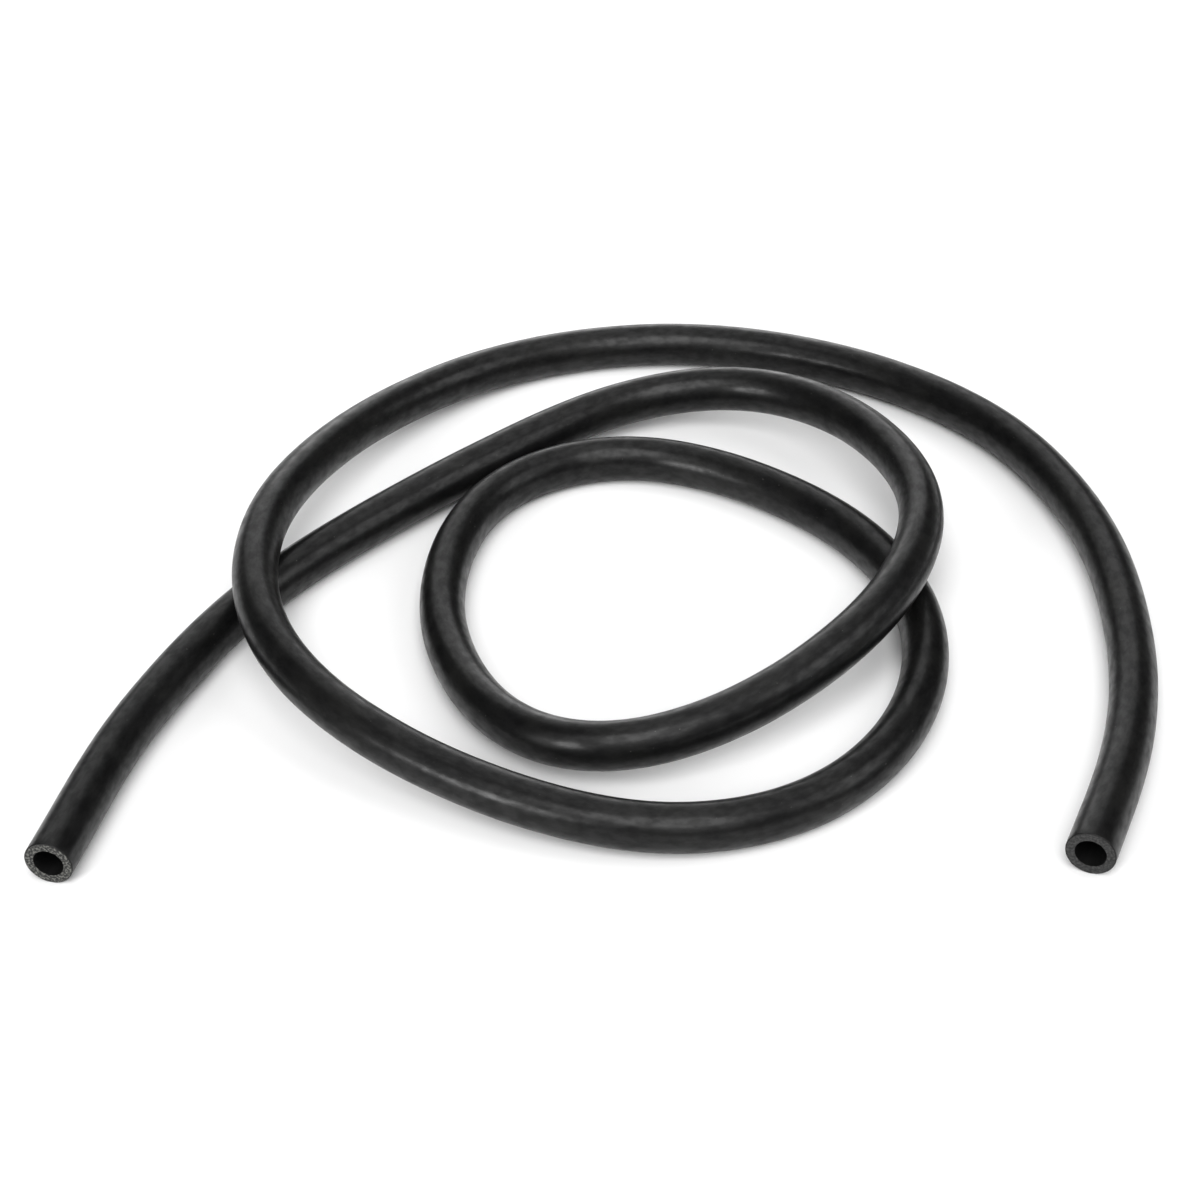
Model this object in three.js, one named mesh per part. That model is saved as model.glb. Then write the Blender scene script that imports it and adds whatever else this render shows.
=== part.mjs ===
// A length of plain black rubber hydraulic hose, lying loose in its own loops on a level floor.
// Millimetres, +Z up. The floor is z = 0 and the origin is under the middle of the footprint.
// +X runs along the footprint's longer side, and both cut ends point towards -Y.
import * as THREE from 'three';

// Hose
const OUTER_DIAMETER = 16;
const BORE_DIAMETER = 10;
const HOSE_LENGTH = 2016;

// Air between two strands where one lies over the other
const CROSSING_GAP = 0.6;

// Height of the middle line where the hose lies on the floor
const RESTING_HEIGHT = OUTER_DIAMETER / 2;

// Facets of the round section, and the length of one straight stretch along the hose
const SECTION_SIDES = 12;
const STRETCH_LENGTH = 24;

// How finely the route is measured, for each of its points
const MEASURES_PER_POINT = 20;

// The lie of the middle line, from the left cut end to the right one, as [x, y, lift].
// Lift is 0 where the hose rests on the floor and 1 where it rests on another strand.
const ROUTE = [
  // Left end, running back under the outer loop
  [-175.5, -134, 0], [-155, -66, 0], [-113, 7, 0], [-9.5, 93, 0.18],
  // Small loop, over its own return strand and down to the floor
  [26, 105.5, 0.31], [56, 103, 0.46], [83, 85.5, 0.62], [104, 52.5, 0.8], [112, 8, 0.97],
  [96.5, -39.5, 0.99], [60.5, -79, 0.8], [32, -94.5, 0.58], [0.5, -100, 0.37], [-26, -88, 0.21],
  // Inner turn, along the first strand and back under the crossing
  [-43.5, -62.5, 0.09], [-55, -18.5, 0], [-49, 28.5, 0], [-33.5, 55.5, 0], [-8.5, 70, 0],
  [22, 70, 0], [59.5, 49.5, 0], [93, 11, 0], [107, -37, 0], [96.5, -86.5, 0],
  // Front of the outer loop, over the left end's strand
  [64.5, -123, 0], [18, -134, 0.05], [-38, -115.5, 0.26], [-88, -79, 0.68], [-110.5, -45, 0.93],
  // Back of the outer loop, and the right end
  [-118, -8, 1], [-112, 39, 0.85], [-81, 98.5, 0.39], [-29.5, 140.5, 0.06], [33, 149.5, 0],
  [97, 127, 0], [147.5, 80, 0], [172.5, 15, 0], [174, -57, 0], [163.5, -106.5, 0], [143, -156, 0],
];

// The middle line of the hose, HOSE_LENGTH long. A hose that is cut longer than the
// route runs straight on past its last point.
class MiddleLine extends THREE.Curve {
  constructor(route, length) {
    super();
    this.lie = new THREE.CatmullRomCurve3(route, false, 'centripetal');
    this.lie.arcLengthDivisions = MEASURES_PER_POINT * route.length;
    this.length = length;
  }

  getPoint(t, target = new THREE.Vector3()) {
    const along = t * this.length;
    const overrun = along - this.lie.getLength();
    if (overrun <= 0) {
      this.lie.getPointAt(along / this.lie.getLength(), target);
    } else {
      this.lie.getPoint(1, target).addScaledVector(this.lie.getTangent(1), overrun);
    }
    target.z = Math.max(target.z, RESTING_HEIGHT);
    return target;
  }
}

function routePoint([x, y, lift]) {
  return new THREE.Vector3(x, y, RESTING_HEIGHT + lift * (OUTER_DIAMETER + CROSSING_GAP));
}

function polygon(diameter) {
  const points = [];
  for (let side = 0; side < SECTION_SIDES; side += 1) {
    const angle = (side / SECTION_SIDES) * 2 * Math.PI;
    points.push(new THREE.Vector2(Math.cos(angle), Math.sin(angle)).multiplyScalar(diameter / 2));
  }
  return points;
}

function hoseSection() {
  const section = new THREE.Shape(polygon(OUTER_DIAMETER));
  section.holes.push(new THREE.Path(polygon(BORE_DIAMETER)));
  return section;
}

function buildHose() {
  const geometry = new THREE.ExtrudeGeometry(hoseSection(), {
    steps: Math.round(HOSE_LENGTH / STRETCH_LENGTH),
    extrudePath: new MiddleLine(ROUTE.map(routePoint), HOSE_LENGTH),
  });
  const blackRubber = new THREE.MeshStandardMaterial({ color: 0x1c1c1d, roughness: 0.55, metalness: 0 });
  const hose = new THREE.Mesh(geometry, blackRubber);
  hose.name = 'hose';
  return hose;
}

const group = new THREE.Group();
group.add(buildHose());

export default group;
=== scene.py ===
"""A cut length of plain black rubber hydraulic hose, lying loose in its own loops.

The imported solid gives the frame, and one swept mesh stands for it: the outside with its slight
unevenness, the two sawn ends and the bore that runs the whole way through. The hose lies on a
plain white floor under soft studio light. Everything is in metres, with the floor at z = 0.
"""
import logging
import math
from dataclasses import dataclass, field, replace
from enum import Enum
from typing import Sequence

import bpy
from mathutils import Matrix, Vector, noise


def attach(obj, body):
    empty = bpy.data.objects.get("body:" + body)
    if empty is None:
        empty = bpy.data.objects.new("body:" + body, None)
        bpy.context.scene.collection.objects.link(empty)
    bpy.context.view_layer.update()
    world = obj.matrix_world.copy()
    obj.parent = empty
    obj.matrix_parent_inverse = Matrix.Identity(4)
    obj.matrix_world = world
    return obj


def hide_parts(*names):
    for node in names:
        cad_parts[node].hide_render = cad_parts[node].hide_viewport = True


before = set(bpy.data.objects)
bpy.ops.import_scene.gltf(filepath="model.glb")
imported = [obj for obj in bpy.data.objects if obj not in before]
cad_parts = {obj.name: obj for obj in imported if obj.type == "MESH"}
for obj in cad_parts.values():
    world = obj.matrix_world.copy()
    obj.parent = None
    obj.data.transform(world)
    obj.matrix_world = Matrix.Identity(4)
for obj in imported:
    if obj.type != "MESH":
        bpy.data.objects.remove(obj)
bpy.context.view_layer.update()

log = logging.getLogger("hydraulic_hose")

MM = 0.001
UP = Vector((0.0, 0.0, 1.0))

# The coordinates on the mesh that follow the hose as if it lay straight
STRAIGHT = "straight"

# How strong each finer set of patches is, against the one before it
OCTAVE_STRENGTH = 0.55

# The hose, as it is cut and laid
OUTER_DIAMETER = 16 * MM
BORE_DIAMETER = 10 * MM
HOSE_LENGTH = 2.016
CROSSING_GAP = 0.6 * MM

# The lie of the middle line, from the left cut end to the right one, as (x, y, lift).
# Lift is 0 where the hose rests on the floor and 1 where it rests on another strand.
ROUTE = (
    # Left end, running back under the outer loop
    (-0.1755, -0.134, 0.0), (-0.155, -0.066, 0.0), (-0.113, 0.007, 0.0), (-0.0095, 0.093, 0.18),
    # Small loop, over its own return strand and down to the floor
    (0.026, 0.1055, 0.31), (0.056, 0.103, 0.46), (0.083, 0.0855, 0.62), (0.104, 0.0525, 0.8),
    (0.112, 0.008, 0.97), (0.0965, -0.0395, 0.99), (0.0605, -0.079, 0.8), (0.032, -0.0945, 0.58),
    (0.0005, -0.100, 0.37), (-0.026, -0.088, 0.21),
    # Inner turn, along the first strand and back under the crossing
    (-0.0435, -0.0625, 0.09), (-0.055, -0.0185, 0.0), (-0.049, 0.0285, 0.0),
    (-0.0335, 0.0555, 0.0), (-0.0085, 0.070, 0.0), (0.022, 0.070, 0.0), (0.0595, 0.0495, 0.0),
    (0.093, 0.011, 0.0), (0.107, -0.037, 0.0), (0.0965, -0.0865, 0.0),
    # Front of the outer loop, over the left end's strand
    (0.0645, -0.123, 0.0), (0.018, -0.134, 0.05), (-0.038, -0.1155, 0.26),
    (-0.088, -0.079, 0.68), (-0.1105, -0.045, 0.93),
    # Back of the outer loop, and the right end
    (-0.118, -0.008, 1.0), (-0.112, 0.039, 0.85), (-0.081, 0.0985, 0.39),
    (-0.0295, 0.1405, 0.06), (0.033, 0.1495, 0.0), (0.097, 0.127, 0.0), (0.1475, 0.080, 0.0),
    (0.1725, 0.015, 0.0), (0.174, -0.057, 0.0), (0.1635, -0.1065, 0.0), (0.143, -0.156, 0.0),
)


class Face(Enum):
    """The kinds of surface on the hose, in the order of its material slots."""

    SKIN = 0
    LEFT_CUT = 1
    RIGHT_CUT = 2
    BORE = 3


@dataclass(frozen=True)
class Grain:
    """Soft random patches on the rubber, laid out as if the hose were straight."""

    # The usual width of a patch
    size: float
    # Below 1 for patches that are longer along the hose
    run: float = 1.0
    # How many finer sets of patches ride on them
    octaves: float = 3.0
    # How far the patches raise the surface
    height: float = 0.0


class NodeSheet:
    """A material's node tree, with short calls for the nodes that a rubber finish needs."""

    def __init__(self, name: str) -> None:
        """Start an empty material with its output and one Principled shader.

        Args:
            name: The material's name.
        """
        self.material = bpy.data.materials.new(name)
        self.material.use_nodes = True
        self.tree = self.material.node_tree
        self.tree.nodes.clear()
        output = self.tree.nodes.new("ShaderNodeOutputMaterial")
        self.shader = self.tree.nodes.new("ShaderNodeBsdfPrincipled")
        self.join(self.shader.outputs["BSDF"], output.inputs["Surface"])

    def join(self, source: bpy.types.NodeSocket, target: bpy.types.NodeSocket) -> None:
        """Link one socket to another.

        Args:
            source: The output socket.
            target: The input socket.
        """
        self.tree.links.new(source, target)

    def mottle(self, grain: Grain) -> bpy.types.NodeSocket:
        """Add soft random patches that follow the hose.

        Args:
            grain: The patches' size, run and octaves.

        Returns:
            The patches' output, near 0.5 on average.
        """
        straight = self.tree.nodes.new("ShaderNodeAttribute")
        straight.attribute_name = STRAIGHT
        scaled = self.tree.nodes.new("ShaderNodeVectorMath")
        scaled.operation = "MULTIPLY"
        scaled.inputs[1].default_value = (1.0, 1.0, grain.run)
        self.join(straight.outputs["Vector"], scaled.inputs[0])
        patches = self.tree.nodes.new("ShaderNodeTexNoise")
        patches.inputs["Scale"].default_value = 1.0 / grain.size
        patches.inputs["Detail"].default_value = grain.octaves
        patches.inputs["Roughness"].default_value = OCTAVE_STRENGTH
        self.join(scaled.outputs["Vector"], patches.inputs["Vector"])
        return patches.outputs["Fac"]

    def spread(
        self, source: bpy.types.NodeSocket, between: tuple[float, float], low: float, high: float
    ) -> bpy.types.NodeSocket:
        """Map a range of values to another one, held at its ends.

        Args:
            source: The value to map.
            between: The source values that give low and high.
            low: The result at the first of them.
            high: The result at the second.

        Returns:
            The mapped value's output.
        """
        mapped = self.tree.nodes.new("ShaderNodeMapRange")
        mapped.inputs["From Min"].default_value = between[0]
        mapped.inputs["From Max"].default_value = between[1]
        mapped.inputs["To Min"].default_value = low
        mapped.inputs["To Max"].default_value = high
        self.join(source, mapped.inputs["Value"])
        return mapped.outputs["Result"]

    def blend(
        self,
        amount: bpy.types.NodeSocket,
        first: bpy.types.NodeSocket | Sequence[float],
        second: bpy.types.NodeSocket | Sequence[float],
    ) -> bpy.types.NodeSocket:
        """Mix two colours.

        Args:
            amount: How much of the second colour shows, from 0 to 1.
            first: A colour, or the output that gives it.
            second: A colour, or the output that gives it.

        Returns:
            The mixed colour's output.
        """
        mix = self.tree.nodes.new("ShaderNodeMix")
        mix.data_type = "RGBA"
        self.join(amount, mix.inputs["Factor"])
        colour_inputs = [socket for socket in mix.inputs if socket.type == "RGBA"]
        for socket, value in zip(colour_inputs, (first, second)):
            if isinstance(value, bpy.types.NodeSocket):
                self.join(value, socket)
            else:
                socket.default_value = (*value, 1.0)
        return next(socket for socket in mix.outputs if socket.type == "RGBA")

    def relief(self, grains: Sequence[Grain]) -> None:
        """Raise the surface by the heights of several grains together.

        Args:
            grains: The grains, each with its own height.
        """
        total = None
        for grain in grains:
            raised = self.tree.nodes.new("ShaderNodeMath")
            raised.operation = "MULTIPLY_ADD"
            raised.inputs[1].default_value = grain.height
            raised.inputs[2].default_value = 0.0
            self.join(self.mottle(grain), raised.inputs[0])
            if total is not None:
                self.join(total, raised.inputs[2])
            total = raised.outputs["Value"]
        bump = self.tree.nodes.new("ShaderNodeBump")
        bump.inputs["Strength"].default_value = 1.0
        bump.inputs["Distance"].default_value = 1.0
        self.join(total, bump.inputs["Height"])
        self.join(bump.outputs["Normal"], self.shader.inputs["Normal"])
        self.join(bump.outputs["Normal"], self.shader.inputs["Coat Normal"])


@dataclass(frozen=True)
class RubberSkin:
    """The hose's outside: black cover rubber with a soft sheen, faintly mottled."""

    black: tuple[float, float, float] = (0.0034, 0.0034, 0.0035)
    bloom: tuple[float, float, float] = (0.0064, 0.0064, 0.0061)
    dust: tuple[float, float, float] = (0.06, 0.06, 0.056)
    bloom_patches: Grain = Grain(14 * MM)
    bloom_between: tuple[float, float] = (0.42, 0.68)
    specks: Grain = Grain(0.8 * MM, octaves=0.0)
    specks_between: tuple[float, float] = (0.86, 0.89)
    speck_cover: float = 0.7
    sheen_patches: Grain = Grain(3.2 * MM, run=0.55, octaves=5.0)
    sheen_between: tuple[float, float] = (0.36, 0.64)
    smoothest: float = 0.32
    dullest: float = 0.48
    reflection: float = 0.13
    # A thin smoother bloom on top, in patches, which gives the brighter streaks
    polish_patches: Grain = Grain(2.4 * MM, run=0.5, octaves=5.0)
    polish_between: tuple[float, float] = (0.38, 0.62)
    least_polish: float = 0.10
    most_polish: float = 0.34
    polish_roughness: float = 0.28
    grains: tuple[Grain, ...] = (
        Grain(0.35 * MM, octaves=2.0, height=0.005 * MM),
        Grain(1.3 * MM, run=0.7, octaves=2.0, height=0.022 * MM),
        Grain(0.8 * MM, run=0.02, octaves=2.0, height=0.008 * MM),
    )

    def material(self) -> bpy.types.Material:
        """Make the skin's material.

        Returns:
            The finished material.
        """
        sheet = NodeSheet("black_cover_rubber")
        bloomed = sheet.spread(sheet.mottle(self.bloom_patches), self.bloom_between, 0.0, 1.0)
        rubber = sheet.blend(bloomed, self.black, self.bloom)
        dusty = sheet.spread(sheet.mottle(self.specks), self.specks_between, 0.0, self.speck_cover)
        sheet.join(sheet.blend(dusty, rubber, self.dust), sheet.shader.inputs["Base Color"])
        sheen = sheet.mottle(self.sheen_patches)
        dull = sheet.spread(sheen, self.sheen_between, self.smoothest, self.dullest)
        sheet.join(dull, sheet.shader.inputs["Roughness"])
        sheet.shader.inputs["Specular IOR Level"].default_value = self.reflection
        polished = sheet.mottle(self.polish_patches)
        polish = sheet.spread(polished, self.polish_between, self.least_polish, self.most_polish)
        sheet.join(polish, sheet.shader.inputs["Coat Weight"])
        sheet.shader.inputs["Coat Roughness"].default_value = self.polish_roughness
        sheet.relief(self.grains)
        return sheet.material


@dataclass(frozen=True)
class CutRubber:
    """The sawn wall at one end: greyer than the skin, speckled with torn grain, and with painted shade
    in the grain's pits.
    """

    name: str
    grey: tuple[float, float, float]
    fleck: tuple[float, float, float]
    # The pit colour is painted shade: it darkens the lowest parts of the grain's relief
    pit_shade: tuple[float, float, float]
    grain: Grain = Grain(0.75 * MM, octaves=1.0, height=0.12 * MM)
    flecks_between: tuple[float, float] = (0.50, 0.62)
    # The grain values that give no painted pit shade and full painted pit shade
    pit_shade_between: tuple[float, float] = (0.47, 0.38)
    roughness: float = 0.82

    def material(self) -> bpy.types.Material:
        """Make the cut wall's material.

        Returns:
            The finished material.
        """
        sheet = NodeSheet(self.name)
        speckles = sheet.mottle(self.grain)
        light = sheet.spread(speckles, self.flecks_between, 0.0, 1.0)
        # Painted shade: the grain's hollows, which the relief sinks, take the dark pit colour
        pit_shading = sheet.spread(speckles, self.pit_shade_between, 0.0, 1.0)
        flecked = sheet.blend(light, self.grey, self.fleck)
        sheet.join(sheet.blend(pit_shading, flecked, self.pit_shade), sheet.shader.inputs["Base Color"])
        sheet.shader.inputs["Roughness"].default_value = self.roughness
        sheet.relief((self.grain,))
        return sheet.material


# Each end's colours: its grey, its light flecks, and the painted shade in its pits
LEFT_CUT_RUBBER = CutRubber("left_cut_rubber", (0.024, 0.024, 0.022), (0.120, 0.120, 0.110),
                            (0.006, 0.006, 0.006))
RIGHT_CUT_RUBBER = CutRubber("right_cut_rubber", (0.015, 0.015, 0.015), (0.036, 0.036, 0.035),
                             (0.006, 0.006, 0.006))


@dataclass(frozen=True)
class BoreRubber:
    """The inside wall: dense black rubber that sees almost no light."""

    black: tuple[float, float, float] = (0.0015, 0.0015, 0.0015)
    worn: tuple[float, float, float] = (0.004, 0.004, 0.004)
    draw_lines: Grain = Grain(1.2 * MM, run=0.05, height=0.02 * MM)
    dull_between: tuple[float, float] = (0.3, 0.7)
    smoothest: float = 0.5
    dullest: float = 0.65
    reflection: float = 0.25

    def material(self) -> bpy.types.Material:
        """Make the bore's material.

        Returns:
            The finished material.
        """
        sheet = NodeSheet("bore_rubber")
        streaks = sheet.mottle(self.draw_lines)
        rubber = sheet.blend(streaks, self.black, self.worn)
        sheet.join(rubber, sheet.shader.inputs["Base Color"])
        dull = sheet.spread(streaks, self.dull_between, self.smoothest, self.dullest)
        sheet.join(dull, sheet.shader.inputs["Roughness"])
        sheet.shader.inputs["Specular IOR Level"].default_value = self.reflection
        sheet.relief((self.draw_lines,))
        return sheet.material


@dataclass(frozen=True)
class Place:
    """One place on the middle line, with the directions that the hose's section stands in."""

    along: float
    centre: Vector
    ahead: Vector
    side: Vector
    rise: Vector
    bend: float


@dataclass
class MiddleLine:
    """The curve that the middle of the hose follows, as part of its lie on the floor."""

    route: Sequence[tuple[float, float, float]] = ROUTE
    length: float = HOSE_LENGTH
    resting_height: float = OUTER_DIAMETER / 2
    crossing_rise: float = OUTER_DIAMETER + CROSSING_GAP
    steps_between_points: int = 60
    bend_reach: float = 6 * MM
    # A stiff hose spreads each change of bend over about this much of its length
    evening: float = 17 * MM
    even_step: float = 2 * MM
    # How far the averaging looks to each side, in evenings
    evening_reach: float = 3.0

    def __post_init__(self) -> None:
        """Lay the line through the route's points, and then even out its bends."""
        self.line = self._fine_line()
        self.run = [0.0]
        for before, after in zip(self.line, self.line[1:]):
            self.run.append(self.run[-1] + (after - before).length)
        count = round(self.run[-1] / self.even_step)
        spaced_run = [self.run[-1] * i / count for i in range(count + 1)]
        once = self._smoothed([self.point(along) for along in spaced_run])
        twice = self._smoothed(once)
        # Smoothing pulls a bend inwards, and the second pass gives how far
        self.line = [self._above_floor(2 * a - b) for a, b in zip(once, twice)]
        self.run = spaced_run

    def _smoothed(self, points: list[Vector]) -> list[Vector]:
        """Average each point with its neighbours, with both ends held.

        Args:
            points: Evenly spaced points.

        Returns:
            As many points, on a smoother line.
        """
        reach = round(self.evening_reach * self.evening / self.even_step)
        shares = [math.exp(-0.5 * (i * self.even_step / self.evening) ** 2)
                  for i in range(-reach, reach + 1)]
        before = [2 * points[0] - point for point in points[reach:0:-1]]
        after = [2 * points[-1] - point for point in points[-2:-reach - 2:-1]]
        padded = before + points + after
        whole = sum(shares)
        smoothed = []
        for start in range(len(points)):
            total = Vector((0.0, 0.0, 0.0))
            for share, point in zip(shares, padded[start:start + len(shares)]):
                total += point * share
            smoothed.append(total / whole)
        return smoothed

    def _above_floor(self, point: Vector) -> Vector:
        """Give the point, or the one right above it where the hose rests on the floor."""
        return Vector((point.x, point.y, max(point.z, self.resting_height)))

    def _corners(self) -> list[Vector]:
        """Give the route's points in space, with one mirrored point past each end.

        Returns:
            The points, two more than the route has.
        """
        points = [Vector((x, y, self.resting_height + lift * self.crossing_rise))
                  for x, y, lift in self.route]
        first = 2 * points[0] - points[1]
        last = 2 * points[-1] - points[-2]
        return [first, *points, last]

    @staticmethod
    def _slope(before: Vector, at: Vector, after: Vector, gap_before: float, gap_after: float) -> Vector:
        """Give the line's slope at a point, for its neighbours at uneven gaps.

        Args:
            before: The point before it.
            at: The point itself.
            after: The point after it.
            gap_before: The gap to the point before.
            gap_after: The gap to the point after.

        Returns:
            The slope for each unit of gap.
        """
        return ((at - before) / gap_before
                - (after - before) / (gap_before + gap_after)
                + (after - at) / gap_after)

    def _fine_line(self) -> list[Vector]:
        """Run one smooth curve through all the points of the route.

        Returns:
            Close points along the curve, none of them below the resting height.
        """
        corners = self._corners()
        line = []
        for p0, p1, p2, p3 in zip(corners, corners[1:], corners[2:], corners[3:]):
            gaps = [math.sqrt((b - a).length) for a, b in ((p0, p1), (p1, p2), (p2, p3))]
            out = self._slope(p0, p1, p2, gaps[0], gaps[1]) * gaps[1]
            into = self._slope(p1, p2, p3, gaps[1], gaps[2]) * gaps[1]
            for step in range(self.steps_between_points):
                u = step / self.steps_between_points
                line.append(p1 + out * u + (3 * (p2 - p1) - 2 * out - into) * u**2
                            + (2 * (p1 - p2) + out + into) * u**3)
        line.append(corners[-2])
        return [self._above_floor(point) for point in line]

    def point(self, along: float) -> Vector:
        """Give the middle of the hose at a distance from its left end.

        Args:
            along: The distance along the hose. Just past an end the line runs straight on.

        Returns:
            The point there.
        """
        low, high = 0, len(self.run) - 1
        while high - low > 1:
            middle = (low + high) // 2
            if self.run[middle] <= along:
                low = middle
            else:
                high = middle
        share = (along - self.run[low]) / (self.run[high] - self.run[low])
        return self.line[low].lerp(self.line[high], share)

    def place(self, along: float) -> Place:
        """Give the point and the section's directions at a distance from the left end.

        Args:
            along: The distance along the hose.

        Returns:
            The place, with its bend as one over the bend's radius, seen from above.
        """
        reach = self.bend_reach
        before, at, after = (self.point(along + step) for step in (-reach, 0.0, reach))
        ahead = (after - before).normalized()
        side = UP.cross(ahead).normalized()
        turned = (at - before).xy.angle_signed((after - at).xy)
        return Place(along, at, ahead, side, ahead.cross(side), abs(turned) / reach)


@dataclass(frozen=True)
class Ring:
    """One ring of the mesh, and the surface between it and the next one."""

    along: float
    radius: float
    face: Face
    end: "CutEnd | None" = None


@dataclass(frozen=True)
class CutEnd:
    """One sawn end of the hose: a slightly uneven face between a rubbed rim and a crisp mouth."""

    face: Face
    along: float
    # 1 where the hose runs towards the face, and -1 where it runs away from it
    outward: int
    rubber: CutRubber
    seed: float
    rim_round: float = 0.35 * MM
    mouth_round: float = 0.12 * MM
    round_steps: int = 4
    face_steps: int = 9
    lump_size: float = 1.7 * MM
    unevenness: float = 0.10 * MM
    ridge_height: float = 0.0
    ridge_pitch: float = 0.7 * MM

    def rings(self, outer: float, inner: float) -> list[Ring]:
        """Give the rings of the end from its rim in to its mouth.

        Args:
            outer: The hose's outer radius.
            inner: The bore's radius.

        Returns:
            The rings, each with the surface that follows it on the way in.
        """
        depths = []
        for step in range(self.round_steps):
            turn = math.pi / 2 * step / self.round_steps
            depths.append((self.rim_round * (1 - math.sin(turn)),
                           outer - self.rim_round * (1 - math.cos(turn)), Face.SKIN))
        first, last = outer - self.rim_round, inner + self.mouth_round
        for step in range(self.face_steps + 1):
            depths.append((0.0, first + (last - first) * step / self.face_steps, self.face))
        for step in range(1, self.round_steps + 1):
            turn = math.pi / 2 * step / self.round_steps
            depths.append((self.mouth_round * (1 - math.cos(turn)),
                           inner + self.mouth_round * (1 - math.sin(turn)), self.face))
        rings = [Ring(self.along - self.outward * depth, radius, face, self)
                 for depth, radius, face in depths]
        rings[-1] = replace(rings[-1], face=Face.BORE)
        return rings

    def relief(self, radius: float, angle: float) -> float:
        """Give how far the saw left the face proud at a point.

        Args:
            radius: The point's distance from the middle line.
            angle: The point's angle around it.

        Returns:
            The height of the face there.
        """
        across = Vector((radius * math.cos(angle), radius * math.sin(angle), 0.0))
        lumps = noise.noise(across / self.lump_size + UP * self.seed)
        ridges = math.sin(2 * math.pi * radius / self.ridge_pitch) * self.ridge_height
        return lumps * self.unevenness + ridges


@dataclass
class HoseBody:
    """The whole hose as one closed mesh, swept along its middle line."""

    line: MiddleLine
    left: CutEnd
    right: CutEnd
    outer_radius: float = OUTER_DIAMETER / 2
    bore_radius: float = BORE_DIAMETER / 2
    sides: int = 64
    skin_step: float = 2.5 * MM
    bore_step: float = 8.0 * MM
    # A bent hose goes slightly oval: lower share of its radius sideways, and as much higher
    ovalling: float = 0.36
    lump_size: float = 22 * MM
    lump_height: float = 0.07 * MM
    skin: RubberSkin = field(default_factory=RubberSkin)
    bore: BoreRubber = field(default_factory=BoreRubber)

    def _between(self, start: Ring, end: Ring, step: float, face: Face) -> list[Ring]:
        """Give evenly spaced rings between two others.

        Args:
            start: The ring before them.
            end: The ring after them.
            step: The wished gap between two rings.
            face: The surface that they carry.

        Returns:
            The rings between, with the start's own radius.
        """
        count = max(2, round(abs(end.along - start.along) / step))
        gap = (end.along - start.along) / count
        return [Ring(start.along + gap * i, start.radius, face) for i in range(1, count)]

    def _rings(self) -> list[Ring]:
        """List the rings of the mesh in order, once around the wall.

        Returns:
            The left end from its mouth to its rim, the skin, the right end and the bore.
        """
        inwards = self.right.rings(self.outer_radius, self.bore_radius)
        outwards = self.left.rings(self.outer_radius, self.bore_radius)[::-1]
        surfaces = [ring.face for ring in outwards[1:]] + [Face.SKIN]
        outwards = [replace(ring, face=face) for ring, face in zip(outwards, surfaces)]
        skin = self._between(outwards[-1], inwards[0], self.skin_step, Face.SKIN)
        bore = self._between(inwards[-1], outwards[0], self.bore_step, Face.BORE)
        return outwards + skin + inwards + bore

    def _vertex(self, place: Place, ring: Ring, angle: float) -> Vector:
        """Place one vertex of a ring.

        Args:
            place: The ring's place on the middle line.
            ring: The ring itself.
            angle: The vertex's angle around the middle line, from the level side.

        Returns:
            The vertex in space, never below the floor.
        """
        oval = self.ovalling * self.outer_radius * place.bend
        across = Vector((math.cos(angle), math.sin(angle), 0.0))
        where = across * self.outer_radius + UP * place.along
        radius = ring.radius + noise.noise(where / self.lump_size) * self.lump_height
        point = place.centre + UP * (oval * self.outer_radius)
        point += place.side * across.x * radius * (1 - oval)
        point += place.rise * across.y * radius * (1 + oval)
        if ring.end is not None:
            point += place.ahead * ring.end.outward * ring.end.relief(ring.radius, angle)
        point.z = max(point.z, 0.0)
        return point

    def build(self, name: str) -> bpy.types.Object:
        """Make the mesh with its surfaces and the coordinates that follow the hose.

        Args:
            name: The new object's name.

        Returns:
            The object, with its finishes.
        """
        vertices: list[Vector] = []
        straight: list[float] = []
        faces: list[tuple[int, int, int, int]] = []
        slots: list[int] = []
        rings = self._rings()
        for index, ring in enumerate(rings):
            place = self.line.place(ring.along)
            this, following = index * self.sides, (index + 1) % len(rings) * self.sides
            for side in range(self.sides):
                angle, beside = 2 * math.pi * side / self.sides, (side + 1) % self.sides
                vertices.append(self._vertex(place, ring, angle))
                straight += (ring.radius * math.cos(angle), ring.radius * math.sin(angle), ring.along)
                faces.append((this + side, this + beside, following + beside, following + side))
                slots.append(ring.face.value)
        mesh = bpy.data.meshes.new(name)
        mesh.from_pydata(vertices, [], faces)
        mesh.polygons.foreach_set("material_index", slots)
        mesh.shade_smooth()
        attribute = mesh.attributes.new(STRAIGHT, "FLOAT_VECTOR", "POINT")
        attribute.data.foreach_set("vector", straight)
        for finish in (self.skin, self.left.rubber, self.right.rubber, self.bore):
            mesh.materials.append(finish.material())
        mesh.validate()
        hose = bpy.data.objects.new(name, mesh)
        bpy.context.scene.collection.objects.link(hose)
        return hose


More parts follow.
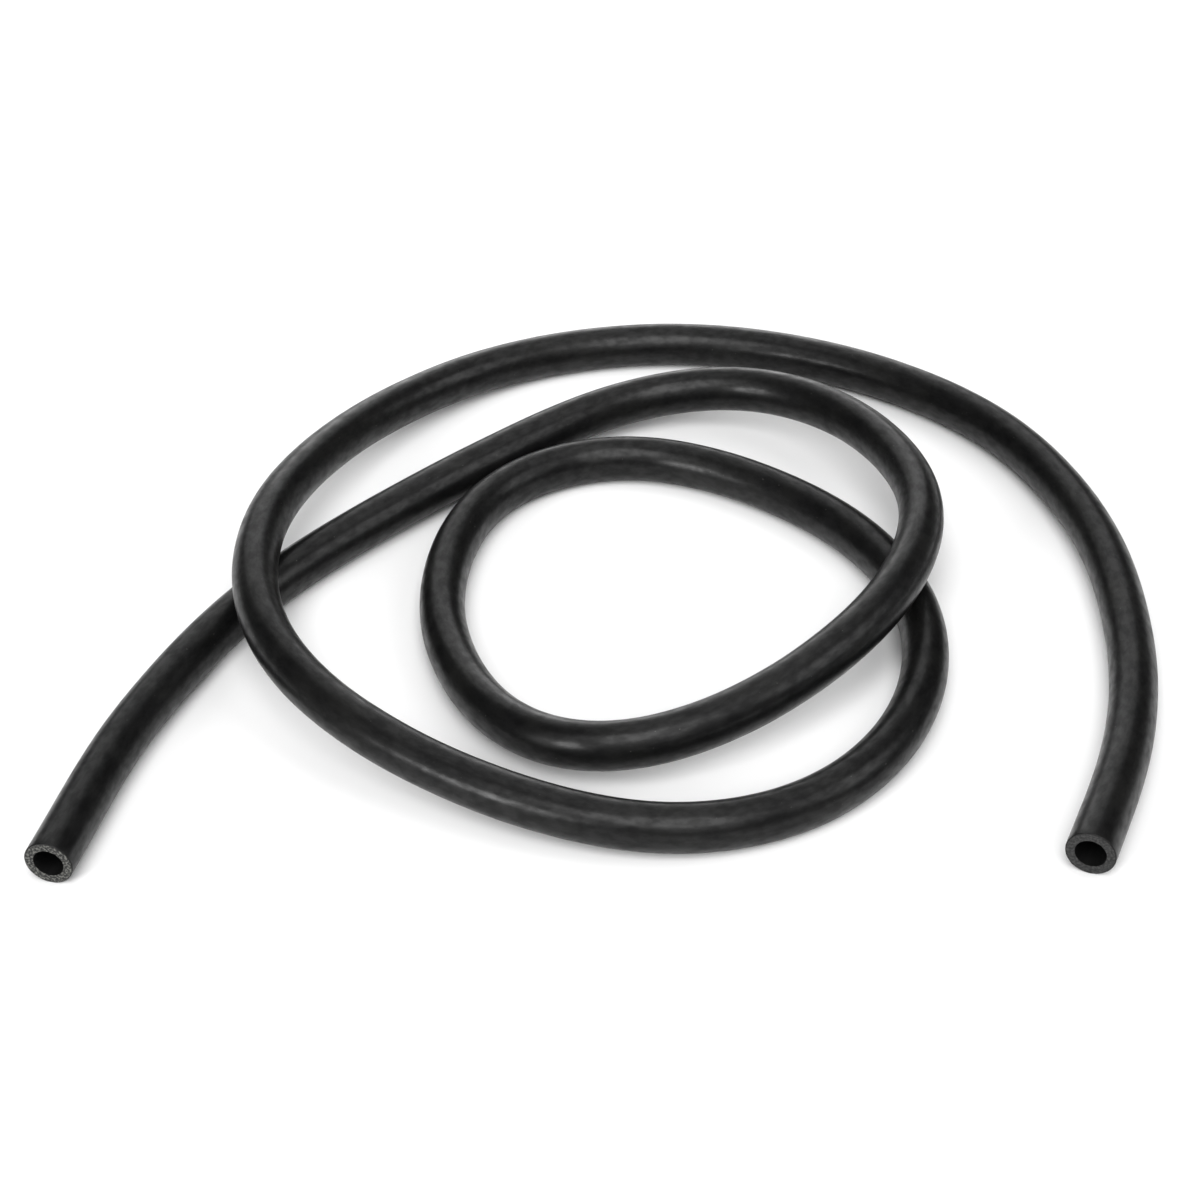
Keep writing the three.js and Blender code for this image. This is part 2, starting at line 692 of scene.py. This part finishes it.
@dataclass(frozen=True)
class PhotoCamera:
    """The camera at the photograph's angle, for a square picture."""

    elevation: float = math.radians(37.0)
    roll: float = math.radians(3.0)
    distance: float = 0.96784
    target: tuple[float, float, float] = (-0.000856, -0.0029476, 0.0)
    sensor: float = 36.0
    focal_pixels: float = 2776.0
    picture_width: float = 1200.0
    nearest: float = 0.01
    farthest: float = 100.0

    def build(self) -> bpy.types.Object:
        """Place the camera and make it the scene's own.

        Returns:
            The camera object.
        """
        data = bpy.data.cameras.new("photo_camera")
        data.sensor_width = self.sensor
        data.lens = self.focal_pixels / self.picture_width * self.sensor
        data.clip_start = self.nearest
        data.clip_end = self.farthest
        camera = bpy.data.objects.new("photo_camera", data)
        back = Vector((0.0, -math.cos(self.elevation), math.sin(self.elevation)))
        right = Vector((1.0, 0.0, 0.0))
        upright = back.cross(right)
        level = math.cos(self.roll) * right - math.sin(self.roll) * upright
        upright = back.cross(level)
        turned = Matrix((level, upright, back)).transposed().to_4x4()
        eye = Vector(self.target) + back * self.distance
        camera.matrix_world = Matrix.Translation(eye) @ turned
        bpy.context.scene.collection.objects.link(camera)
        bpy.context.scene.camera = camera
        return camera


@dataclass(frozen=True)
class SoftLight:
    """One wide, far-off studio light."""

    name: str
    # Azimuth 0 is the camera's side and 90 the right, elevation is above the floor
    azimuth: float
    elevation: float
    # How wide the light looks from the hose, in degrees
    width: float
    strength: float

    def build(self) -> bpy.types.Object:
        """Hang the light so that it shines at the middle of the hose.

        Returns:
            The light object.
        """
        light = bpy.data.lights.new(self.name, "SUN")
        light.angle = math.radians(self.width)
        light.energy = self.strength
        holder = bpy.data.objects.new(self.name, light)
        turn, tip = math.radians(self.azimuth), math.radians(self.elevation)
        out = Vector((math.sin(turn) * math.cos(tip), -math.cos(turn) * math.cos(tip), math.sin(tip)))
        holder.location = out
        holder.rotation_mode = "QUATERNION"
        holder.rotation_quaternion = (-out).to_track_quat("-Z", "Y")
        bpy.context.scene.collection.objects.link(holder)
        return holder


@dataclass(frozen=True)
class Studio:
    """The plain white floor and the soft light around it."""

    floor_half: float = 8.0
    floor_white: tuple[float, float, float] = (0.92, 0.92, 0.92)
    floor_roughness: float = 0.9
    surroundings: float = 0.02
    lights: tuple[SoftLight, ...] = (
        SoftLight("front_light", -3.0, 55.0, 44.0, 2.25),
        SoftLight("low_front_light", 8.0, 28.0, 30.0, 0.30),
        SoftLight("low_left_light", -47.0, 19.0, 20.0, 1.55),
        SoftLight("upper_left_light", -50.0, 50.0, 34.0, 0.20),
        SoftLight("right_light", 76.0, 35.0, 40.0, 1.00),
        SoftLight("low_back_light", 179.0, 9.0, 26.0, 0.42),
        SoftLight("back_light", 185.0, 29.0, 50.0, 0.62),
        SoftLight("top_light", 150.0, 76.0, 46.0, 0.65),
    )

    def floor(self) -> bpy.types.Object:
        """Lay the floor.

        Returns:
            The floor object.
        """
        half = self.floor_half
        mesh = bpy.data.meshes.new("studio_floor")
        corners = [(-half, -half, 0.0), (half, -half, 0.0), (half, half, 0.0), (-half, half, 0.0)]
        mesh.from_pydata(corners, [], [(0, 1, 2, 3)])
        paper = bpy.data.materials.new("studio_paper")
        paper.use_nodes = True
        shader = next(node for node in paper.node_tree.nodes if node.type == "BSDF_PRINCIPLED")
        shader.inputs["Base Color"].default_value = (*self.floor_white, 1.0)
        shader.inputs["Roughness"].default_value = self.floor_roughness
        shader.inputs["Specular IOR Level"].default_value = 0.0
        mesh.materials.append(paper)
        floor = bpy.data.objects.new("studio_floor", mesh)
        bpy.context.scene.collection.objects.link(floor)
        return floor

    def surround(self) -> None:
        """Fill the room around with an even white light."""
        world = bpy.data.worlds.new("studio_white")
        world.use_nodes = True
        white = next(node for node in world.node_tree.nodes if node.type == "BACKGROUND")
        white.inputs["Color"].default_value = (1.0, 1.0, 1.0, 1.0)
        white.inputs["Strength"].default_value = self.surroundings
        bpy.context.scene.world = world

    def build(self) -> None:
        """Set up the floor, the lights and the plain view of them."""
        self.floor()
        self.surround()
        for light in self.lights:
            light.build()
        bpy.context.scene.view_settings.view_transform = "Standard"


def lay_hose() -> bpy.types.Object:
    """Returns:
        The hose object.
    """
    line = MiddleLine()
    body = HoseBody(line, CutEnd(Face.LEFT_CUT, 0.0, -1, LEFT_CUT_RUBBER, seed=3.0),
                    CutEnd(Face.RIGHT_CUT, line.length, 1, RIGHT_CUT_RUBBER, seed=8.0,
                           ridge_height=0.03 * MM))
    hose = body.build("rubber_hose")
    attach(hose, "root")
    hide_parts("hose")
    log.info("%s: %d faces, %.3f m long", hose.name, len(hose.data.polygons), line.length)
    return hose


def main() -> None:
    """Build the camera, the hose and the studio, in that order, and note the sizes."""
    logging.basicConfig(level=logging.INFO, format="%(message)s")
    camera = PhotoCamera().build()
    log.info("%s: %.1f mm lens", camera.name, camera.data.lens)
    lay_hose()
    Studio().build()
    log.info("studio: floor and lights in place")


if __name__ == "__main__":
    main()
